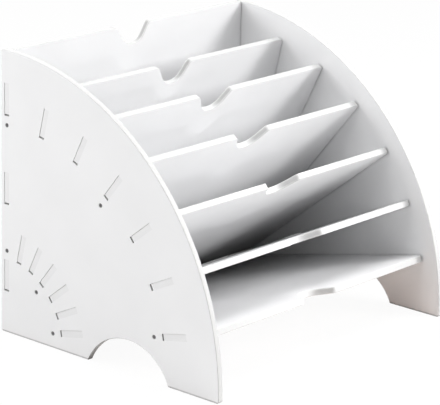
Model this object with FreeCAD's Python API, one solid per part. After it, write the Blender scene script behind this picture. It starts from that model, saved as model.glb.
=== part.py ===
import FreeCAD, Part
import math
import os

# Fan-shaped desktop sorter, cut from one thickness of white board.
# Two quarter-disc sides stand on the desk. A back panel, five dividers and a
# bottom shelf run between them, spread like a fan about a line at the foot of
# the back panel. Every cross panel has tenons that pass through slots in the
# sides, and small countersunk screws hold the back panel, the middle divider
# and the bottom shelf.
#
# Frame: +X to the right, +Y to the rear, +Z up, millimetres. The origin is on
# the floor, at the middle of the width and of the depth.
# u is measured forward from the rear edge, v up from the floor, and r outward
# from the fan line, along a panel.

# ---- driving dimensions ---------------------------------------------------
board = 6.0                  # thickness of every panel
side_radius = 270.0          # quarter disc: height and depth of a side
side_corner_radius = 2.5     # the quarter disc's three corners
inner_width = 316.0          # clear width between the sides, for A4 sheets
eased_edge = 0.5             # chamfer that takes the sharpness off cut edges

arch_width = 98.0            # foot arch in a side's floor edge
arch_height = 31.5
arch_centre_u = 162.0

divider_count = 5            # slanted dividers between bottom shelf and back panel
divider_front_r = 247.0      # front edge of a divider, from the fan line
divider_rear_gap = 0.1       # between the rear corners of neighbouring panels
tenon_length = 27.0
tenon_inset = 31.2           # front edge to the middle of the outer tenon
tenon_pitch = 128.6          # outer tenon to inner tenon

back_setback = 4.5           # side's rear edge to the back panel's rear face
back_floor_gap = 11.0        # floor to the back panel's lower edge
back_tenon_length = 29.0
back_tenon_inset = 45.3

tenon_recess = 0.35          # tenon's end below the side's outer face
slot_clearance = 0.25        # above a tenon, which rests on its slot's lower face
slot_far_gap = 0.15          # at the slot's end away from the fan line
slot_near_gap = 1.65         # at the slot's end nearest the fan line

corner_radius = 4.0          # the two exposed corners of a panel
notch_width = 45.0           # finger notch at the panel's front edge
notch_floor_width = 20.0
notch_depth = 19.0
notch_lip_radius = 5.0
notch_floor_radius = 16.0

screw_shank_d = 2.2
screw_head_d = 3.8
screw_length = 20.0
screw_tip_length = 3.0
head_sink = 0.4              # head's top below the side's outer face
shank_clearance = 0.15       # round the shank, in the side
pilot_extra_depth = 1.0      # pilot hole beyond the screw's tip
screw_gap = 10.2             # slot's end to the screw's axis, dividers
back_screw_gap = 8.7         # slot's end to the screw's axis, back panel

# ---- derived places -------------------------------------------------------
fan_step_deg = 90.0 / (divider_count + 2)
half_step = math.radians(fan_step_deg / 2.0)
fan_u = back_setback + board / 2.0
rear_y = side_radius / 2.0
inner_x = inner_width / 2.0
outer_x = inner_x + board
tenon_reach = board - tenon_recess
divider_rear_r = (board / 2.0 + divider_rear_gap / (2.0 * math.cos(half_step))) / math.tan(half_step)
back_front_u = back_setback + board
back_top = math.sqrt(side_radius ** 2 - back_front_u ** 2)
overlap = 1.0                # how far a fused or cut form runs into its neighbour
level_tolerance = 1e-6       # an edge this close to a plane lies on it

divider_tenons = [
    divider_front_r - tenon_inset - tenon_pitch,
    divider_front_r - tenon_inset,
]
back_tenons = [
    back_floor_gap + back_tenon_inset,
    (back_floor_gap + back_top) / 2.0,
    back_top - back_tenon_inset,
]


def vec(x, y, z):
    """A point or a direction."""
    return FreeCAD.Vector(x, y, z)


def mirrored(shape):
    """The same shape on the other side of the sorter's middle plane."""
    return shape.mirror(vec(0.0, 0.0, 0.0), vec(1.0, 0.0, 0.0))


# ---- flat outlines ---------------------------------------------------------
def corner_arc(before, corner, after, radius):
    """Tangent arc that rounds one corner, as its start, middle and end."""
    back = (before - corner).normalize()
    ahead = (after - corner).normalize()
    half = back.getAngle(ahead) / 2.0
    run = radius / math.tan(half)
    bisector = (back + ahead).normalize()
    middle = corner + bisector * (radius / math.sin(half) - radius)
    return corner + back * run, middle, corner + ahead * run


def rounded_face(corners):
    """Face inside a polygon. Each corner is x, y and the radius that rounds it."""
    points = [vec(x, y, 0.0) for x, y, _ in corners]
    count = len(points)
    arcs = []
    for i, (_, _, radius) in enumerate(corners):
        if radius:
            arcs.append(corner_arc(points[i - 1], points[i], points[(i + 1) % count], radius))
        else:
            arcs.append((points[i], None, points[i]))
    edges = []
    for i, (start, middle, end) in enumerate(arcs):
        if middle:
            edges.append(Part.Arc(start, middle, end).toShape())
        edges.append(Part.LineSegment(end, arcs[(i + 1) % count][0]).toShape())
    return Part.Face(Part.Wire(edges))


def eased(solid, axis, levels):
    """Chamfer the outline edges that lie on the plate's two flat faces."""
    outline = []
    for edge in solid.Edges:
        box = edge.BoundBox
        low, high = getattr(box, axis + "Min"), getattr(box, axis + "Max")
        if any(max(abs(low - level), abs(high - level)) < level_tolerance for level in levels):
            outline.append(edge)
    return solid.makeChamfer(eased_edge, outline)


# ---- cross panels ----------------------------------------------------------
# A panel is drawn flat: x across the sorter, y along r, z through the board.
def panel_blank(r_low, r_high):
    """Flat panel with rounded front corners and a finger notch in the front edge."""
    half_notch = notch_width / 2.0
    half_floor = notch_floor_width / 2.0
    floor_r = r_high - notch_depth
    corners = [
        (-inner_x, r_low, 0.0),
        (inner_x, r_low, 0.0),
        (inner_x, r_high, corner_radius),
        (half_notch, r_high, notch_lip_radius),
        (half_floor, floor_r, notch_floor_radius),
        (-half_floor, floor_r, notch_floor_radius),
        (-half_notch, r_high, notch_lip_radius),
        (-inner_x, r_high, corner_radius),
    ]
    plate = rounded_face(corners).extrude(vec(0.0, 0.0, board))
    plate.translate(vec(0.0, 0.0, -board / 2.0))
    return eased(plate, "Z", [-board / 2.0, board / 2.0])


def tenon_pair(r_middle, length):
    """Left and right tenon at one place along the panel."""
    run = tenon_reach + overlap
    corner = vec(inner_x - overlap, r_middle - length / 2.0, -board / 2.0)
    right = Part.makeBox(run, length, board, corner)
    return [mirrored(right), right]


def pilot_pair(r_screw):
    """Left and right pilot hole in the panel's ends, at the screw's core size."""
    reach = screw_length + head_sink - board + pilot_extra_depth
    start = vec(inner_x + overlap, r_screw, 0.0)
    right = Part.makeCylinder(screw_shank_d / 2.0, reach + overlap, start, vec(-1.0, 0.0, 0.0))
    return [mirrored(right), right]


def to_fan(shape, angle_deg):
    """Turn a flat-drawn shape to its place in the fan, at an angle above the floor."""
    placed = shape.copy()
    placed.rotate(vec(0.0, 0.0, 0.0), vec(1.0, 0.0, 0.0), 180.0 - angle_deg)
    placed.translate(vec(0.0, rear_y - fan_u, 0.0))
    return placed


def cross_panel(panel):
    """One finished panel: blank, tenons and, where it is screwed, pilot holes."""
    shape = panel_blank(panel["r_low"], panel["r_high"])
    for r_middle in panel["tenons"]:
        for tenon in tenon_pair(r_middle, panel["tenon_length"]):
            shape = shape.fuse(tenon)
    shape = shape.removeSplitter()
    for r_screw in panel["screws"]:
        for pilot in pilot_pair(r_screw):
            shape = shape.cut(pilot)
    return to_fan(shape, panel["angle"])


# ---- slots and screw holes in the sides --------------------------------------
# They are drawn flat, like the panels, for the right side.
def slot_ends(r_middle, length):
    """Ends of the slot round a tenon, along r."""
    return r_middle - length / 2.0 - slot_near_gap, r_middle + length / 2.0 + slot_far_gap


def slot_cutter(r_middle, length):
    """Through slot round one tenon, level with the tenon's lower face and clear above it."""
    low, high = slot_ends(r_middle, length)
    corner = vec(inner_x - overlap, low, -board / 2.0 - slot_clearance)
    return Part.makeBox(board + 2.0 * overlap, high - low, board + slot_clearance, corner)


def screw_hole_cutter(r_screw):
    """Shank hole through the side, with a 90 degree countersink that the head seats in."""
    mouth_r = screw_head_d / 2.0 + head_sink
    shank_r = screw_shank_d / 2.0 + shank_clearance
    inward = vec(-1.0, 0.0, 0.0)
    sink = Part.makeCone(mouth_r, shank_r, mouth_r - shank_r, vec(outer_x, r_screw, 0.0), inward)
    shank_start = vec(outer_x - (mouth_r - shank_r) / 2.0, r_screw, 0.0)
    shank = Part.makeCylinder(shank_r, board + overlap, shank_start, inward)
    return sink.fuse(shank)


def screw_blank(r_screw):
    """Screw on the right side: countersunk head, shank at core size and point."""
    head_r = screw_head_d / 2.0
    shank_r = screw_shank_d / 2.0
    top = outer_x - head_sink
    tip = top - screw_length
    profile = Part.makePolygon([
        vec(top, 0.0, 0.0),
        vec(top, head_r, 0.0),
        vec(top - (head_r - shank_r), shank_r, 0.0),
        vec(tip + screw_tip_length, shank_r, 0.0),
        vec(tip, 0.0, 0.0),
        vec(top, 0.0, 0.0),
    ])
    screw = Part.Face(profile).revolve(vec(0.0, 0.0, 0.0), vec(1.0, 0.0, 0.0), 360.0)
    screw.translate(vec(0.0, r_screw, 0.0))
    return screw


# ---- sides -------------------------------------------------------------------
def side_point(u, v):
    """Point on the right side's inner face, from the rear edge and the floor."""
    return vec(inner_x, rear_y - u, v)


def side_outline():
    """Quarter disc with a foot arch in its floor edge, as a face."""
    rear_u = arch_centre_u - arch_width / 2.0
    front_u = arch_centre_u + arch_width / 2.0
    on_arc = side_radius * math.sqrt(0.5)
    heel = side_point(0.0, 0.0)
    toe = side_point(side_radius, 0.0)
    top = side_point(0.0, side_radius)
    arch_rear = side_point(rear_u, 0.0)
    arch_crown = side_point(arch_centre_u, arch_height)
    arch_front = side_point(front_u, 0.0)
    edges = [
        Part.LineSegment(heel, arch_rear).toShape(),
        Part.Arc(arch_rear, arch_crown, arch_front).toShape(),
        Part.LineSegment(arch_front, toe).toShape(),
        Part.Arc(toe, side_point(on_arc, on_arc), top).toShape(),
        Part.LineSegment(top, heel).toShape(),
    ]
    return Part.Face(Part.Wire(edges))


def rounded_corners(plate):
    """Round the quarter disc's corners: at the heel, at the toe and at the top."""
    corners = [side_point(0.0, 0.0), side_point(side_radius, 0.0), side_point(0.0, side_radius)]
    edges = []
    for edge in plate.Edges:
        first = edge.firstVertex().Point
        starts_at_corner = any(first.distanceToPoint(corner) < level_tolerance for corner in corners)
        if starts_at_corner and edge.BoundBox.XLength > board / 2.0:
            edges.append(edge)
    return plate.makeFillet(side_corner_radius, edges)


def right_side(panels):
    """Right side with a slot for each tenon and a hole for each screw."""
    plate = rounded_corners(side_outline().extrude(vec(board, 0.0, 0.0)))
    plate = eased(plate, "X", [inner_x, outer_x])
    cutters = []
    for panel in panels:
        for r_middle in panel["tenons"]:
            cutters.append(to_fan(slot_cutter(r_middle, panel["tenon_length"]), panel["angle"]))
        for r_screw in panel["screws"]:
            cutters.append(to_fan(screw_hole_cutter(r_screw), panel["angle"]))
    return plate.cut(cutters)


# ---- the whole sorter ----------------------------------------------------------
def panel_list():
    """Every cross panel, from the bottom shelf round to the back panel."""
    divider_screws = [slot_ends(r, tenon_length)[0] - screw_gap for r in divider_tenons]
    back_screws = [
        slot_ends(back_tenons[0], back_tenon_length)[1] + back_screw_gap,
        slot_ends(back_tenons[2], back_tenon_length)[0] - back_screw_gap,
    ]
    middle = (divider_count + 1) // 2
    panels = []
    for index in range(divider_count + 1):
        screwed = index in (0, middle)
        panels.append({
            "name": "divider_%d" % index if index else "bottom_shelf",
            "angle": fan_step_deg * (index + 1),
            "r_low": divider_rear_r,
            "r_high": divider_front_r,
            "tenons": divider_tenons,
            "tenon_length": tenon_length,
            "screws": divider_screws if screwed else [],
        })
    panels.append({
        "name": "back_panel",
        "angle": 90.0,
        "r_low": back_floor_gap,
        "r_high": back_top,
        "tenons": back_tenons,
        "tenon_length": back_tenon_length,
        "screws": back_screws,
    })
    return panels


def build():
    """All pieces by name."""
    panels = panel_list()
    pieces = {}
    pieces["side_right"] = right_side(panels)
    pieces["side_left"] = mirrored(pieces["side_right"])
    for panel in panels:
        pieces[panel["name"]] = cross_panel(panel)
        for r_screw, place in zip(panel["screws"], ("inner", "outer")):
            screw = to_fan(screw_blank(r_screw), panel["angle"])
            pieces["screw_%s_right_%s" % (panel["name"], place)] = screw
            pieces["screw_%s_left_%s" % (panel["name"], place)] = mirrored(screw)
    return pieces


def main():
    os.makedirs("parts", exist_ok=True)
    for name, shape in build().items():
        solids = shape.Solids
        piece = solids[0] if len(solids) == 1 else shape
        piece.exportStep("parts/%s.step" % name)
        box = piece.BoundBox
        print("%-34s %9.0f mm3  x %7.1f %7.1f  y %7.1f %7.1f  z %6.1f %6.1f  solids %d valid %s" % (
            name, piece.Volume, box.XMin, box.XMax, box.YMin, box.YMax, box.ZMin, box.ZMax,
            len(solids), piece.isValid()))


main()
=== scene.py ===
# %% [markdown]
# # A fan-shaped desktop sorter in white board
#
# The sorter is nine boards and twelve screws. Two quarter-disc sides stand on the desk, and seven cross
# panels spread between them like a fan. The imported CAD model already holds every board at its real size
# and place, so this lesson never touches a board's shape. It gives the boards the finish of satin foam
# board with milled edges, replaces the plain screws by threaded ones with a cross recess, and sets up
# the camera, the lamps and a pale floor.
#
# The first cell loads the frame. Every length from here on is in metres, in the frame's own axes: +X to
# the right, +Y to the rear, +Z up.

# %% Load the frame
import math
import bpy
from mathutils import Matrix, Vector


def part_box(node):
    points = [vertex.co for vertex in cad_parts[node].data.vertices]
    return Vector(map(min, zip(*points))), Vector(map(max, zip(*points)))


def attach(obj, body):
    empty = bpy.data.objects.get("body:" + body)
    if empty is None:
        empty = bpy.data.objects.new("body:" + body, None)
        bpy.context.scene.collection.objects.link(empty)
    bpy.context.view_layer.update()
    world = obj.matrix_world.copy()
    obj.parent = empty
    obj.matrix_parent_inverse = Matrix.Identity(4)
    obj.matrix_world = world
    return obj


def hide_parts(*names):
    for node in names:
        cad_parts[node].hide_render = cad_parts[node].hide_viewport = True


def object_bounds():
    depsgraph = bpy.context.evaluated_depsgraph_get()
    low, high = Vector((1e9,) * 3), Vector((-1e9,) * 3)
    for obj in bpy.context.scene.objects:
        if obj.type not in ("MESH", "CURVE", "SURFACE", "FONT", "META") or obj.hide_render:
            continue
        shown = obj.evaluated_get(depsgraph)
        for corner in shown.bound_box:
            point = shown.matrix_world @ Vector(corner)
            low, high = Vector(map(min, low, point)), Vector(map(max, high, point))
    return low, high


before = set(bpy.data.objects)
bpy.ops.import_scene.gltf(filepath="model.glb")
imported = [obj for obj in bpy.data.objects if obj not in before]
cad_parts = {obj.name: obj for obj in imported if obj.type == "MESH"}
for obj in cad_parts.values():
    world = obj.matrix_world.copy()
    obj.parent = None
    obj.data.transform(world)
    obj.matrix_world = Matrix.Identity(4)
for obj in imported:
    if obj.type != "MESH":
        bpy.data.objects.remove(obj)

from types import SimpleNamespace

import bmesh
import bpy
import numpy as np
from mathutils import Matrix, Vector

MM = 0.001
scene = bpy.context.scene
cad_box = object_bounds()


def rounded(box):
    """The two corners of a box, rounded to a tenth of a millimetre, for printing."""
    return [tuple(round(value, 4) for value in corner) for corner in box]


print("nodes:", len(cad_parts), " CAD box:", rounded(cad_box))

# %% [markdown]
# ## The camera
#
# The sorter is seen from its front left, a little from above, through a long lens, which keeps
# upright edges nearly parallel. A camera could be aimed with a Track To constraint, but a matrix built
# from three angles is easier to check: the azimuth turns it round the sorter, the elevation lifts it,
# and the roll tips the horizon by a degree and a half.

# %% Camera
CAMERA_PLACE = (-1.6507, -1.4104, 0.7675)
CAMERA_AZIMUTH = -49.286
CAMERA_ELEVATION = 16.624
CAMERA_ROLL = 1.479
CAMERA_LENS_MM = 197.95
CAMERA_SENSOR_MM = 36.0


def camera_matrix(place, azimuth_deg, elevation_deg, roll_deg):
    """Matrix of a camera: X points right and Y up, both turned by the roll, and it looks along its -Z."""
    azimuth, elevation, roll = map(math.radians, (azimuth_deg, elevation_deg, roll_deg))
    ahead = Vector((-math.sin(azimuth) * math.cos(elevation), math.cos(azimuth) * math.cos(elevation),
                    -math.sin(elevation)))
    level = Vector((math.cos(azimuth), math.sin(azimuth), 0.0))
    upright = level.cross(ahead)
    right = level * math.cos(roll) + upright * math.sin(roll)
    up = upright * math.cos(roll) - level * math.sin(roll)
    return Matrix.Translation(place) @ Matrix((right, up, -ahead)).transposed().to_4x4()


camera = bpy.data.objects.new("camera", bpy.data.cameras.new("camera"))
scene.collection.objects.link(camera)
camera.data.lens = CAMERA_LENS_MM
camera.data.sensor_width = CAMERA_SENSOR_MM
camera.matrix_world = camera_matrix(CAMERA_PLACE, CAMERA_AZIMUTH, CAMERA_ELEVATION, CAMERA_ROLL)
scene.camera = camera
print("camera looks along", [round(v, 3) for v in camera.matrix_world.to_3x3() @ Vector((0.0, 0.0, -1.0))])

# %% [markdown]
# ## A short way to write shader nodes
#
# A material is a small graph. Adding each node and each link by hand takes many lines, so one helper
# does both at once: an input is either a plain value or the output socket of another node. The others
# start a material: an empty one, and one that already has a shader.

# %% Node helpers
def add_node(tree, kind, inputs=None, **settings):
    """Add a node of one kind, set its properties, and fill or link its inputs. Returns the node."""
    made = tree.nodes.new(kind)
    for key, value in settings.items():
        setattr(made, key, value)
    for key, value in (inputs or {}).items():
        if isinstance(value, bpy.types.NodeSocket):
            tree.links.new(value, made.inputs[key])
        else:
            made.inputs[key].default_value = value
    return made


def empty_material(name):
    """A material without any nodes, and its node tree."""
    material = bpy.data.materials.new(name)
    material.use_nodes = True
    material.node_tree.nodes.clear()
    return material, material.node_tree


def new_material(name):
    """A material with one shader: the material, its node tree and the shader."""
    material, tree = empty_material(name)
    shader = add_node(tree, "ShaderNodeBsdfPrincipled")
    add_node(tree, "ShaderNodeOutputMaterial", {"Surface": shader.outputs[0]})
    return material, tree, shader


print("node helpers:", ", ".join(helper.__name__ for helper in (add_node, empty_material, new_material)))

# %% [markdown]
# ## Sums with sockets
#
# Most of a finish is arithmetic: where is this point, how far is it from something, and how much of a
# tone should it get? Each kind of sum gets a name here, so that the finishes below read like sentences.
# The one used most is `spread`, a Map Range node: it maps a value from one range to another and holds it
# at the ends, which turns a distance or a noise into a soft-edged mask.

# %% Sums with sockets
def arithmetic(tree, operation, *values):
    """Output of one Math node, for example SUBTRACT of two values."""
    return add_node(tree, "ShaderNodeMath", dict(enumerate(values)), operation=operation).outputs[0]


def multiply(tree, first, *others):
    """Product of two or more values."""
    for other in others:
        first = arithmetic(tree, "MULTIPLY", first, other)
    return first


def less(tree, value, part, share):
    """The value, less a share of the part."""
    return arithmetic(tree, "SUBTRACT", value, multiply(tree, part, share))


def distance(tree, value, centre):
    """How far a value is from the centre, whichever way."""
    return arithmetic(tree, "ABSOLUTE", arithmetic(tree, "SUBTRACT", value, centre))


def dot(tree, vector, direction):
    """How far a vector reaches along a direction: the sum of the products of their three parts."""
    made = add_node(tree, "ShaderNodeVectorMath", {0: vector, 1: direction}, operation="DOT_PRODUCT")
    return made.outputs["Value"]


def scaled(tree, vector, factor):
    """A vector or a colour times one factor."""
    made = add_node(tree, "ShaderNodeVectorMath", {0: vector, "Scale": factor}, operation="SCALE")
    return made.outputs[0]


def spread(tree, value, low, high, to_low=0.0, to_high=1.0):
    """Map a value from one range to another, and hold it at the ends."""
    made = add_node(tree, "ShaderNodeMapRange", {
        "Value": value, "From Min": low, "From Max": high, "To Min": to_low, "To Max": to_high})
    return made.outputs[0]


def within(tree, value, limit, fade):
    """1 up to the limit, then down to 0 over the fade."""
    return spread(tree, value, limit, limit + fade, 1.0, 0.0)


def blend_value(tree, share, first, second):
    """Value that goes from the first to the second as the share goes from 0 to 1."""
    return add_node(tree, "ShaderNodeMix", {0: share, 2: first, 3: second}, data_type="FLOAT").outputs[0]


def blend_colour(tree, share, first, second):
    """Colour that goes from the first to the second as the share goes from 0 to 1."""
    return add_node(tree, "ShaderNodeMix", {0: share, 6: first, 7: second}, data_type="RGBA").outputs[2]


print("sums:", ", ".join(helper.__name__ for helper in (
    arithmetic, multiply, less, distance, dot, scaled, spread, within, blend_value, blend_colour)))

# %% [markdown]
# ## Which way a board lies
#
# A board has two flat faces with a smooth skin, and cut edges all round it that show the milling tool's
# fine lines. One pattern has to know which is which. The direction that faces the most area is the
# board's own normal, and it can be worked out from the mesh: area times normal squared, added up over
# all triangles, gives a 3 x 3 matrix whose strongest axis is that direction.

# %% Board normals
def flat_direction(mesh):
    """Unit normal of a plate's two large faces: the strongest axis of the sum of area times n n'."""
    count = len(mesh.polygons)
    normals = np.empty(count * 3, np.float32)
    areas = np.empty(count, np.float32)
    mesh.polygons.foreach_get("normal", normals)
    mesh.polygons.foreach_get("area", areas)
    normals = normals.reshape(-1, 3)
    area_matrix = (normals * areas[:, None]).T @ normals
    return Vector(np.linalg.eigh(area_matrix)[1][:, -1])


def middle_plane(mesh, normal):
    """How far along its normal a plate's middle plane lies from the object's origin."""
    reach = [vertex.co.dot(normal) for vertex in mesh.vertices]
    return (min(reach) + max(reach)) / 2.0


boards = {name: obj for name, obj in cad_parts.items() if not name.startswith("screw_")}
board_normal = {name: flat_direction(obj.data) for name, obj in boards.items()}
board_middle = {name: middle_plane(obj.data, board_normal[name]) for name, obj in boards.items()}
for name in sorted(boards):
    print("%-14s lies square to" % name, [round(v, 3) for v in board_normal[name]],
          "at", round(board_middle[name] / MM, 1), "mm")

# %% [markdown]
# ## Where a point lies on its board
#
# Patterns and wear need to know where a point is and which way it faces. All of it comes from Object
# coordinates: once as they are, in the sorter's own axes, and once turned into the board's own frame, so
# that milled lines stay square to each board however it leans. The turned ones count in millimetres,
# because a pattern's size is easier to judge as grains per millimetre.

# %% Places on a board
SIDEWAYS_LEAST = 0.5


def looks_sideways(normal):
    """True for the two sides, whose flat faces look along X, and False for the cross panels."""
    return abs(normal.x) > SIDEWAYS_LEAST


def board_frame(normal):
    """Turn that carries the board's normal to Z, and a direction across the board to X."""
    across = Vector((0.0, 1.0, 0.0)) if looks_sideways(normal) else Vector((1.0, 0.0, 0.0))
    along = normal.cross(across).normalized()
    across = along.cross(normal).normalized()
    return Matrix((across, along, normal)).to_euler()


def board_places(tree, normal, middle):
    """Sockets that say where a point is on its board and on the sorter, and which way it faces."""
    coordinates = add_node(tree, "ShaderNodeTexCoord")
    here = coordinates.outputs["Object"]
    looks = coordinates.outputs["Normal"]
    turned = add_node(tree, "ShaderNodeMapping", {
        "Vector": here, "Rotation": board_frame(normal), "Scale": (1.0 / MM, 1.0 / MM, 1.0 / MM)})
    here_axes = add_node(tree, "ShaderNodeSeparateXYZ", {0: here})
    looks_axes = add_node(tree, "ShaderNodeSeparateXYZ", {0: looks})
    return SimpleNamespace(
        on_board=turned.outputs[0],
        off_centre=arithmetic(tree, "ABSOLUTE", here_axes.outputs["X"]),
        to_rear=here_axes.outputs["Y"],
        height=here_axes.outputs["Z"],
        sideways=arithmetic(tree, "ABSOLUTE", looks_axes.outputs["X"]),
        flat=arithmetic(tree, "ABSOLUTE", dot(tree, looks, normal)),
        off_middle=distance(tree, dot(tree, here, normal), middle))


print("sides:", ", ".join(name for name in sorted(boards) if looks_sideways(board_normal[name])))

# %% [markdown]
# ## Grain of the board
#
# The boards are rigid foamed plastic, white all through. The skin is satin and nearly plain, yet three
# things keep it from looking like a flat colour: a very fine orange peel, broad patches that are a hair
# lighter or duller, and a few faint rub marks. The cut edges are matt, with fine lines that
# run round the board and tiny pores where the tool opened the foam.
#
# An image could hold all this, but it would have to be unwrapped onto every board. A noise in space needs
# no unwrapping. Stretched along one axis it makes lines, and cut off near its top it makes specks.

# %% Grain
# grains per millimetre across, along and through the board, then the noise's detail and roughness
PATCHES = ((0.018, 0.018, 0.018), 2.0, 0.5)
PEEL = ((1.6, 1.6, 1.6), 2.0, 0.5)
RUB_MARKS = ((0.03, 0.6, 0.3), 4.0, 0.5)
MILLED_LINES = ((0.06, 0.06, 5.0), 3.0, 0.6)
PORES = ((5.0, 5.0, 5.0), 1.0, 0.5)
# the part of a noise's range that holds most of it, and the tops that make marks and pores
NOISE_MIDDLE = (0.3, 0.7)
RUB_MARK_TOPS = (0.62, 0.72)
PORE_TOPS = (0.60, 0.70)


def noise(tree, place, grains, detail, roughness):
    """Value of a noise whose grains are 1 / grains millimetres along each axis of the board."""
    stretched = add_node(tree, "ShaderNodeVectorMath", {0: place, 1: grains}, operation="MULTIPLY")
    made = add_node(tree, "ShaderNodeTexNoise", {
        "Vector": stretched.outputs[0], "Scale": 1.0, "Detail": detail, "Roughness": roughness})
    return made.outputs["Fac"]


for title, pattern in (("patches", PATCHES), ("peel", PEEL), ("rub marks", RUB_MARKS),
                       ("lines", MILLED_LINES), ("pores", PORES)):
    print("%-9s about" % title, " x ".join("%.1f" % (1.0 / grain) for grain in pattern[0]), "mm")

# %% [markdown]
# ## Grey flanks, shaded arches and sanded edges
#
# The cut edges are not all of one grey. On the slanted flanks of the finger notches the core between
# the two skins is greyer. The edges of the foot arches are darker too, with painted shade that is
# deepest near the desk. The tenons' ends are sanded once the joints are home, so they are nearly as
# light as the skin.
#
# Such places could be painted by hand. Here each is found from where a point is and which way it faces,
# so it stays right if a board changes. Every mask is a product of conditions that are 0 or 1 with a soft
# step between them.

# %% Tones of the cut edges
EDGE_FADE = 1.0 * MM
TENON_END_START = 159.0 * MM
TENON_END_TURN = (0.90, 0.98)
NOTCH_REACH = 23.0 * MM
NOTCH_FADE = 2.0 * MM
FLANK_TURN = (0.25, 0.75)
FLANK_FLATNESS = (0.3, 0.5)
GREY_FLANK_CORE = 1.1 * MM
# the foot arch's edge gets painted shade, deepest near the desk
ARCH_CENTRE = -27.0 * MM
ARCH_HALF_WIDTH = 49.0 * MM
ARCH_HEIGHT = 32.0 * MM
ARCH_FOOT = (2.0 * MM, 8.0 * MM)
ARCH_UPPER_SHARE = 0.66


def tenon_end(tree, at):
    """1 on a tenon's end: cut square to the sorter's width, and beyond the sides' inner faces."""
    square = spread(tree, at.sideways, *TENON_END_TURN)
    outside = spread(tree, at.off_centre, TENON_END_START, TENON_END_START + EDGE_FADE)
    return multiply(tree, square, outside)


def grey_flank(tree, at):
    """1 on the core of a notch's slanted flanks: near the sorter's middle, cut, and turned sideways."""
    slanted = spread(tree, at.sideways, *FLANK_TURN)
    cut = spread(tree, at.flat, *FLANK_FLATNESS, 1.0, 0.0)
    in_notch = within(tree, at.off_centre, NOTCH_REACH, NOTCH_FADE)
    in_core = within(tree, at.off_middle, GREY_FLANK_CORE, EDGE_FADE)
    return multiply(tree, slanted, cut, in_notch, in_core)


def arch_shade(tree, at):
    """Where painted shade falls on a foot arch's edge: 1 on its lowest part, two thirds higher up, and 0
    elsewhere.
    """
    along = within(tree, distance(tree, at.to_rear, ARCH_CENTRE), ARCH_HALF_WIDTH, EDGE_FADE)
    below = within(tree, at.height, ARCH_HEIGHT, EDGE_FADE)
    near_desk = spread(tree, at.height, *ARCH_FOOT, 1.0, ARCH_UPPER_SHARE)
    return multiply(tree, near_desk, along, below)


print("grey notch flanks reach", round((NOTCH_REACH + NOTCH_FADE) / MM), "mm either side of the middle;",
      "painted arch shade lies", round((ARCH_CENTRE - ARCH_HALF_WIDTH) / MM), "to",
      round((ARCH_CENTRE + ARCH_HALF_WIDTH) / MM), "mm from the middle of the depth")

# %% [markdown]
# ## Painted shade in creases and along the foot
#
# The creases between the boards are darkened with painted shade. An Ambient Occlusion node measures how
# shut in a point is within a few millimetres, which finds every crease by itself. The slots in the sides
# are left out. The lowest millimetre or two is darkened as well, a painted contact shade where the sorter
# stands on the desk.

# %% Painted crease and foot shade
# painted shade in the creases, and painted contact shade in the lowest millimetres
CREASE_REACH = 2.5 * MM
CREASE_SAMPLES = 8
CREASE_SHADE_SHARE = 0.35
INNER_FACE = 158.0 * MM
CREASE_SHADE_MARGIN = 0.3 * MM
CREASE_SHADE_FADE = 0.5 * MM
CONTACT_SHADE_HEIGHTS = (0.8 * MM, 2.0 * MM)
CONTACT_SHADE_SHARE = 0.45


def crease_shade_factor(tree, at):
    """Painted crease shade: 1 on open surfaces, and less the more a crease between two boards shuts a
    point in.
    """
    crease = add_node(tree, "ShaderNodeAmbientOcclusion", {"Distance": CREASE_REACH},
                      samples=CREASE_SAMPLES)
    crease_shade = spread(tree, crease.outputs["AO"], 0.0, 1.0, CREASE_SHADE_SHARE, 0.0)
    between_sides = within(tree, at.off_centre, INNER_FACE + CREASE_SHADE_MARGIN, CREASE_SHADE_FADE)
    return less(tree, 1.0, crease_shade, between_sides)


def contact_shade_factor(tree, at):
    """Painted contact shade: 1 everywhere but in the lowest two millimetres, darkened where the sorter
    stands on the desk.
    """
    return spread(tree, at.height, *CONTACT_SHADE_HEIGHTS, 1.0 - CONTACT_SHADE_SHARE, 1.0)


print("painted crease shade: up to", CREASE_SHADE_SHARE, "in creases; painted contact shade: up to", CONTACT_SHADE_SHARE, "below",
      round(CONTACT_SHADE_HEIGHTS[1] / MM), "mm")

# %% [markdown]
# ## Satin foam board
#
# Now the finish itself. A point that looks the way the board's flat faces do has the skin, and any other
# has the cut core. The notch flanks are the greyer, the more upright a panel stands. The painted shade
# of the creases and the foot darkens the colour as well. One function makes the finish for any board,
# from its normal and its middle plane, and each board gets a material of its own. The bump is only a
# fiftieth of a millimetre high: it breaks up the light without changing a single edge.

# %% Board finish
BOARD_WHITE = (0.867, 0.868, 0.875, 1.0)
CUT_WHITE = (0.71, 0.71, 0.706, 1.0)
SKIN_FLATNESS = (0.92, 0.98)
SKIN_TONES = (0.985, 1.01)
CUT_TONES = (0.96, 1.0)
PORE_SHARE = 0.06
GREY_FLANK_LEAST = 0.13
GREY_FLANK_MOST = 0.33
GREY_FLANK_POWER = 4
ARCH_SHADE_SHARE = 0.5
SANDED_SHARE = 0.85
SKIN_ROUGHNESS = (0.42, 0.50)
RUB_MARK_ROUGHNESS = 0.08
CUT_ROUGHNESS = 0.72
BUMP_HEIGHT = 0.02 * MM
BOARD_BUMP = 0.6


def finish_shader(tree, shader, colour, roughness, height, strength):
    """Link a colour, a roughness and a bump, whose height is a pattern, to a shader."""
    bump = add_node(tree, "ShaderNodeBump", {
        "Strength": strength, "Distance": BUMP_HEIGHT, "Height": height})
    tree.links.new(colour, shader.inputs["Base Color"])
    tree.links.new(roughness, shader.inputs["Roughness"])
    tree.links.new(bump.outputs[0], shader.inputs["Normal"])


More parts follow.
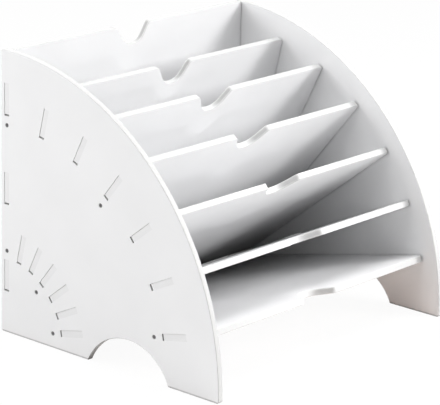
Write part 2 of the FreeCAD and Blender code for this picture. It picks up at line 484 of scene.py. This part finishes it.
def cut_edge_tone(tree, at, normal, lines, pores):
    """Lightness of a cut edge: the milled lines, less the pores, the grey notch flanks and the painted
    shade in the foot arches.
    """
    tone = less(tree, spread(tree, lines, *NOISE_MIDDLE, *CUT_TONES), pores, PORE_SHARE)
    grey_flank_share = GREY_FLANK_LEAST + (GREY_FLANK_MOST - GREY_FLANK_LEAST) * abs(normal.y) ** GREY_FLANK_POWER
    tone = less(tree, tone, grey_flank(tree, at), grey_flank_share)
    # painted shade on the edges of the foot arches
    if looks_sideways(normal):
        tone = less(tree, tone, arch_shade(tree, at), ARCH_SHADE_SHARE)
    return tone


def foam_board(name, normal, middle):
    """White foam board: satin skin on the two faces, matt milled lines on every cut edge."""
    material, tree, shader = new_material(name)
    at = board_places(tree, normal, middle)
    patches = noise(tree, at.on_board, *PATCHES)
    peel = noise(tree, at.on_board, *PEEL)
    rub_marks = spread(tree, noise(tree, at.on_board, *RUB_MARKS), *RUB_MARK_TOPS)
    lines = noise(tree, at.on_board, *MILLED_LINES)
    pores = spread(tree, noise(tree, at.on_board, *PORES), *PORE_TOPS)

    is_cut = arithmetic(tree, "SUBTRACT", 1.0, spread(tree, at.flat, *SKIN_FLATNESS))
    unsanded = arithmetic(tree, "MAXIMUM", less(tree, is_cut, tenon_end(tree, at), SANDED_SHARE), 0.0)
    white = blend_colour(tree, unsanded, BOARD_WHITE, CUT_WHITE)
    skin_tone = spread(tree, patches, *NOISE_MIDDLE, *SKIN_TONES)
    tone = blend_value(tree, is_cut, skin_tone, cut_edge_tone(tree, at, normal, lines, pores))
    # painted shade: the creases and the lowest two millimetres darken the colour
    shade = multiply(tree, crease_shade_factor(tree, at), contact_shade_factor(tree, at), tone)

    skin_roughness = arithmetic(tree, "ADD", spread(tree, patches, *NOISE_MIDDLE, *SKIN_ROUGHNESS),
                                multiply(tree, rub_marks, RUB_MARK_ROUGHNESS))
    roughness = blend_value(tree, is_cut, skin_roughness, CUT_ROUGHNESS)
    height = blend_value(tree, is_cut, peel, arithmetic(tree, "SUBTRACT", lines, pores))
    finish_shader(tree, shader, scaled(tree, white, shade), roughness, height, BOARD_BUMP)
    return material


for name, obj in boards.items():
    obj.data.materials.clear()
    title = "foam board " + name.replace("_", " ")
    obj.data.materials.append(foam_board(title, board_normal[name], board_middle[name]))
print("finished boards:", ", ".join(sorted(boards)))

# %% [markdown]
# ## Threaded screws with a cross recess
#
# The CAD screws are plain: a countersunk head, a shank and a point. A real one has a cross recess in
# its head, a plain neck where it passes through the side, and a thread where it bites into the panel.
# All of that is one surface on a grid. Each row of the grid is a ring round the axis, and each column is
# a direction away from it. The rings run from the bottom of the recess out to the head's rim, down the
# countersink and the neck, along the thread and in to the point.
#
# The thread is a ridge in the radius that shifts by one pitch per turn. The recess needs
# rings that follow a cross: in each direction the cross reaches as far as the longer of its two bars.

# %% Recess and thread
COLUMNS = 48
THREAD_PITCH = 1.2 * MM
THREAD_HEIGHT = 0.25 * MM
CREST_SHARE = 0.4
RECESS_REACH = 1.2 * MM
RECESS_ANGLE = math.radians(15.0)
NEARLY_ZERO = 1e-9


def cross_reach(angle, reach, half_width):
    """Distance from the middle to a cross's outline: the longer of its two bars in that direction."""
    c, s = np.abs(np.cos(angle)) + NEARLY_ZERO, np.abs(np.sin(angle)) + NEARLY_ZERO
    level = np.minimum(reach / c, half_width / s)
    upright = np.minimum(half_width / c, reach / s)
    return np.maximum(level, upright)


def ridge(phase):
    """Thread's section over one turn: a sharp crest over two fifths of the pitch, and a flat root."""
    from_crest = np.abs((phase % 1.0) - 0.5)
    return np.clip(1.0 - from_crest * 2.0 / CREST_SHARE, 0.0, 1.0)


column_angle = np.linspace(0.0, 2.0 * np.pi, COLUMNS, endpoint=False)
cross_radius = cross_reach(column_angle, RECESS_REACH, RECESS_REACH * math.tan(RECESS_ANGLE))
print("cross recess:", round(2.0 * cross_radius.max() / MM, 2), "mm along its bars,",
      round(2.0 * cross_radius.min() / MM, 2), "mm between its inner corners")

# %% [markdown]
# ## The screw's rings
#
# Each part of the screw is a short profile: how far out a ring lies, and how deep below the head's top.
# The recess and the flat land round it are shares of the way to the next outline, so their rings change
# from a cross to a circle as they go outwards. Below the neck the rings come close together, eight to
# each turn of the thread, and the core and the thread shrink to nothing along the point.

# %% Screw profile
RINGS_PER_TURN = 8
SHANK_RADIUS = 1.1 * MM
NECK_LENGTH = 6.4 * MM
NECK_RING = 0.6
POINT_LENGTH = 3.0 * MM
RECESS_DEPTH = 1.1 * MM
# share of the way from the axis to the cross, and share of the recess's depth
RECESS_RINGS = np.array([(0.0, 1.0), (0.3, 0.93), (0.55, 0.85), (0.93, 0.03), (1.0, 0.0)])
# share of the way from the cross to the head's rim, and depth in millimetres
LAND_RINGS = np.array([(0.35, 0.0), (0.7, 0.0), (0.96, 0.0), (1.0, 0.06)])


def screw_rings(head_radius, shank_radius, length):
    """Radius of every grid point and its depth below the head's top, as arrays of rings by columns.

    Thread: the core's radius plus the thread's height times the ridge at depth / pitch - turn.
    """
    recess_radius = RECESS_RINGS[:, :1] * cross_radius
    land_radius = cross_radius + (head_radius - cross_radius) * LAND_RINGS[:, :1]
    steps = int(RINGS_PER_TURN * (length - NECK_LENGTH) / THREAD_PITCH)
    down = np.concatenate([
        [head_radius - shank_radius, NECK_LENGTH * NECK_RING],
        np.linspace(NECK_LENGTH, length, steps)])
    to_point = np.clip((length - down) / POINT_LENGTH, 0.0, 1.0)
    thread = THREAD_HEIGHT * np.clip((down - NECK_LENGTH) / THREAD_PITCH, 0.0, 1.0) * to_point
    phase = down[:, None] / THREAD_PITCH - column_angle / (2.0 * np.pi)
    shaft_radius = (shank_radius * to_point)[:, None] + thread[:, None] * ridge(phase)
    radius = np.vstack([recess_radius, land_radius, shaft_radius])
    depth = np.concatenate([RECESS_RINGS[:, 1] * RECESS_DEPTH, LAND_RINGS[:, 1] * MM, down])
    return radius, np.repeat(depth[:, None], COLUMNS, axis=1)


def ring_faces(rings, columns):
    """Quads between each ring and the next, wound so that they face away from the axis."""
    ring, column = np.meshgrid(np.arange(rings - 1), np.arange(columns), indexing="ij")
    here = ring * columns + column
    beside = ring * columns + (column + 1) % columns
    return np.stack([here, beside, beside + columns, here + columns], axis=-1).reshape(-1, 4)


print("rings:", len(RECESS_RINGS), "in the recess,", len(LAND_RINGS), "on the land and the rim,",
      RINGS_PER_TURN, "per turn of the thread; points in each:", COLUMNS)

# %% [markdown]
# ## A screw in every hole
#
# The first and the last ring have no width, so each is a single point. Blender would keep the
# doubled vertices apart, so they are merged with bmesh, which also closes the surface at both poles.
# Every screw is placed from its CAD node's own box: the head lies on the side that is further from the
# middle, and the axis runs through the box's centre. Each is turned by a different angle, as real screws
# are, because nobody lines up their recesses.

# %% Build the screws
TURN_STEP = math.radians(137.5)
MERGE_DISTANCE = 1e-7


def threaded_screw(name, low, high, turn):
    """A screw along X inside the box of its CAD node, with its head towards the nearer side."""
    outward = 1.0 if low.x + high.x > 0.0 else -1.0
    head_x = high.x if outward > 0.0 else low.x
    centre_y, centre_z = (low.y + high.y) / 2.0, (low.z + high.z) / 2.0
    radius, depth = screw_rings((high.y - low.y) / 2.0, SHANK_RADIUS, high.x - low.x)
    x = head_x - outward * depth
    y = centre_y + radius * np.cos(column_angle + turn)
    z = centre_z + radius * np.sin(column_angle + turn)
    points = np.stack([x, y, z], axis=-1).reshape(-1, 3)
    faces = ring_faces(*radius.shape)
    if outward > 0.0:
        faces = faces[:, ::-1]
    mesh = bpy.data.meshes.new(name)
    mesh.from_pydata(points.tolist(), [], faces.tolist())
    shell = bmesh.new()
    shell.from_mesh(mesh)
    bmesh.ops.remove_doubles(shell, verts=shell.verts, dist=MERGE_DISTANCE)
    bmesh.ops.recalc_face_normals(shell, faces=shell.faces)
    shell.to_mesh(mesh)
    shell.free()
    made = bpy.data.objects.new(name, mesh)
    scene.collection.objects.link(made)
    return made


screws = {}
for index, node in enumerate(sorted(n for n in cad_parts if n.startswith("screw_"))):
    low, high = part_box(node)
    screws[node] = threaded_screw("threaded_" + node, low, high, index * TURN_STEP)
    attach(screws[node], "root")
    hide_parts(node)
print("screws:", len(screws), " triangles each:",
      sum(len(face.vertices) - 2 for face in screws[node].data.polygons))

# %% [markdown]
# ## Black oxide steel
#
# The screws are blackened, which leaves a thin, slightly oily film on the steel. It is dark, half
# metallic, and blotchy in its gloss. Here and there bare steel shows through as small bright specks.

# %% Screw finish
OXIDE_BLACK = (0.19, 0.186, 0.19, 1.0)
BARE_STEEL = (0.42, 0.42, 0.43, 1.0)
BLOTCHES = ((1.5, 1.5, 1.5), 3.0, 0.5)
BARE_SPECKS = ((6.0, 6.0, 6.0), 5.0, 0.5)
BARE_SPECK_TOPS = (0.66, 0.74)
OXIDE_ROUGHNESS = (0.32, 0.55)
OXIDE_METALLIC = 0.7
OXIDE_BUMP = 0.5


def black_oxide():
    """Blackened steel: dark metal with blotchy gloss and worn specks of bare steel."""
    material, tree, shader = new_material("black oxide steel")
    coordinates = add_node(tree, "ShaderNodeTexCoord")
    place = scaled(tree, coordinates.outputs["Object"], 1.0 / MM)
    blotches = noise(tree, place, *BLOTCHES)
    worn = spread(tree, noise(tree, place, *BARE_SPECKS), *BARE_SPECK_TOPS)
    colour = blend_colour(tree, worn, OXIDE_BLACK, BARE_STEEL)
    roughness = spread(tree, blotches, *NOISE_MIDDLE, *OXIDE_ROUGHNESS)
    shader.inputs["Metallic"].default_value = OXIDE_METALLIC
    finish_shader(tree, shader, colour, roughness, blotches, OXIDE_BUMP)
    return material


screw_steel = black_oxide()
for screw in screws.values():
    screw.data.materials.append(screw_steel)
print("screw finish:", screw_steel.name)

# %% [markdown]
# ## Floor and backdrop
#
# The sorter stands on a wide, pale floor. The floor has two jobs that pull apart: it has to look white,
# and it mustn't throw a flood of light up under the panels. A Light Path node separates them. Rays
# from the camera, and reflections, meet a floor that is mostly glow with a little diffuse colour, so it
# is white and still takes the sorter's soft shadow. All other rays meet a plain grey floor. Under the
# sorter that hidden floor is warmer: light that has bounced there a few times tints the lowest surfaces.

# %% Floor
FLOOR_RADIUS = 8.0
FLOOR_POINTS = 64
FLOOR_DROP = 0.05 * MM
FLOOR_BOUNCE = (0.70, 0.695, 0.69, 1.0)
WARM_BOUNCE = (0.85, 0.70, 0.62, 1.0)
WARM_WIDTH = 150.0 * MM
WARM_DEPTH = 125.0 * MM
WARM_FADE = 20.0 * MM
SHADOW_SHARE = 0.06


def seen_directly(tree):
    """1 for camera rays, reflections and rays through glass, and 0 for light that only bounces."""
    path = add_node(tree, "ShaderNodeLightPath")
    seen = arithmetic(tree, "MAXIMUM", path.outputs["Is Camera Ray"], path.outputs["Is Glossy Ray"])
    return arithmetic(tree, "MAXIMUM", seen, path.outputs["Is Transmission Ray"])


def bounce_colour(tree):
    """Colour of the floor that bounced light meets: plain grey, and warm under the sorter."""
    coordinates = add_node(tree, "ShaderNodeTexCoord")
    place = add_node(tree, "ShaderNodeSeparateXYZ", {0: coordinates.outputs["Object"]})
    off_centre = arithmetic(tree, "ABSOLUTE", place.outputs["X"])
    off_middle = arithmetic(tree, "ABSOLUTE", place.outputs["Y"])
    under = multiply(tree, within(tree, off_centre, WARM_WIDTH, WARM_FADE),
                     within(tree, off_middle, WARM_DEPTH, WARM_FADE))
    return blend_colour(tree, under, FLOOR_BOUNCE, WARM_BOUNCE)


def floor_finish():
    """Floor that is white to the eye, keeps a faint shadow, and bounces only a little light."""
    material, tree = empty_material("pale floor")
    glow = add_node(tree, "ShaderNodeEmission", {"Strength": 1.0 - SHADOW_SHARE})
    pale = add_node(tree, "ShaderNodeBsdfDiffuse", {
        "Color": (SHADOW_SHARE, SHADOW_SHARE, SHADOW_SHARE, 1.0)})
    shown = add_node(tree, "ShaderNodeAddShader", {0: glow.outputs[0], 1: pale.outputs[0]})
    bounce = add_node(tree, "ShaderNodeBsdfDiffuse", {"Color": bounce_colour(tree)})
    mixed = add_node(tree, "ShaderNodeMixShader", {
        0: seen_directly(tree), 1: bounce.outputs[0], 2: shown.outputs[0]})
    add_node(tree, "ShaderNodeOutputMaterial", {"Surface": mixed.outputs[0]})
    return material


floor_mesh = bpy.data.meshes.new("floor")
around = np.linspace(0.0, 2.0 * np.pi, FLOOR_POINTS, endpoint=False)
rim = np.stack([FLOOR_RADIUS * np.cos(around), FLOOR_RADIUS * np.sin(around),
                np.full_like(around, -FLOOR_DROP)], axis=1)
floor_mesh.from_pydata(rim.tolist(), [], [list(range(len(rim)))])
floor = bpy.data.objects.new("floor", floor_mesh)
scene.collection.objects.link(floor)
floor.data.materials.append(floor_finish())
print("floor radius:", FLOOR_RADIUS, "m")

# %% [markdown]
# ## World
#
# The studio is a white tent. The world gives a low, even light from all round. As with the floor, what
# the camera sees of it and what lights the sorter are kept apart: the camera sees plain white.

# %% World
WORLD_LEVEL = 0.18
TENT_WHITE = (1.0, 1.0, 1.0, 1.0)


def make_world(level):
    """A world that is white to the eye and lights the sorter at the given level."""
    world = bpy.data.worlds.new("white tent")
    scene.world = world
    world.use_nodes = True
    tree = world.node_tree
    tree.nodes.clear()
    strength = spread(tree, seen_directly(tree), 0.0, 1.0, level, 1.0)
    sky = add_node(tree, "ShaderNodeBackground", {"Color": TENT_WHITE, "Strength": strength})
    add_node(tree, "ShaderNodeOutputWorld", {"Surface": sky.outputs[0]})


make_world(WORLD_LEVEL)
scene.view_settings.view_transform = "Standard"
print("world:", scene.world.name, "at", WORLD_LEVEL)

# %% [markdown]
# ## Area lamps
#
# Area lamps shape the even light. They are wide, so their shadows have soft edges. The key lamp stands in
# front on the right, and from there the right side's shadow falls across the dividers. One as strong
# stands behind on the left and, with a weak one beside it, lights the left side. Two more hang overhead.
# Each hangs on a bearing from the front towards the right, and faces the middle of the sorter.

# %% Area lamps
AREA_LAMPS = [
    # name, bearing from the front towards the right, height angle, size, power
    ("key lamp", 38.0, 22.0, 0.6, 30.5),
    ("high lamp", 65.0, 55.0, 1.2, 14.0),
    ("top lamp", 0.0, 85.0, 1.2, 22.0),
    ("left lamp", -90.0, 30.0, 1.2, 8.8),
    ("rear lamp", -142.0, 30.0, 1.2, 28.2),
]
AREA_DISTANCE = 2.2


def aim(light, target, bearing_deg, height_deg, reach):
    """Hang a light some way from the target, facing it, and hide it from the camera."""
    made = bpy.data.objects.new(light.name, light)
    scene.collection.objects.link(made)
    bearing, height = math.radians(bearing_deg), math.radians(height_deg)
    towards = Vector((math.sin(bearing) * math.cos(height), -math.cos(bearing) * math.cos(height),
                      math.sin(height)))
    made.location = target + towards * reach
    made.rotation_euler = towards.to_track_quat("Z", "Y").to_euler()
    made.visible_camera = False


def add_lamp(name, bearing_deg, height_deg, size, power):
    """A square area lamp that faces the middle of the sorter."""
    lamp = bpy.data.lights.new(name, "AREA")
    lamp.size = size
    lamp.energy = power
    aim(lamp, (cad_box[0] + cad_box[1]) / 2.0, bearing_deg, height_deg, AREA_DISTANCE)


for lamp in AREA_LAMPS:
    add_lamp(*lamp)
print("area lamps:", ", ".join(lamp[0] for lamp in AREA_LAMPS))

# %% [markdown]
# ## Spot lamps for the lowest compartments
#
# The lowest compartments open forward, under the others, and little of that light gets in. Stronger
# area lamps would wash out everything above, so spot lamps, whose cones can be kept narrow, are aimed
# at the lower half from the front. Each cone fades out softly, so no edge of it can be seen.

# %% Spot lamps
SPOT_LAMPS = [
    # name, bearing from the front towards the right, height angle, size, power
    ("upper spot", 35.0, 38.0, 0.25, 27.0),
    ("level spot", 5.0, 2.0, 0.25, 23.0),
]
SPOT_DISTANCE = 1.4
SPOT_REACH = 0.17
SPOT_TARGET = Vector((-0.03, -0.04, 0.09))


def add_spot(name, bearing_deg, height_deg, size, power):
    """A round spot lamp whose cone covers the lowest compartments and fades out towards its rim."""
    lamp = bpy.data.lights.new(name, "SPOT")
    lamp.shadow_soft_size = size / 2.0
    lamp.spot_size = 2.0 * math.atan(SPOT_REACH / SPOT_DISTANCE)
    lamp.spot_blend = 1.0
    lamp.energy = power
    aim(lamp, SPOT_TARGET, bearing_deg, height_deg, SPOT_DISTANCE)


for lamp in SPOT_LAMPS:
    add_spot(*lamp)
print("spot lamps:", ", ".join(lamp[0] for lamp in SPOT_LAMPS))
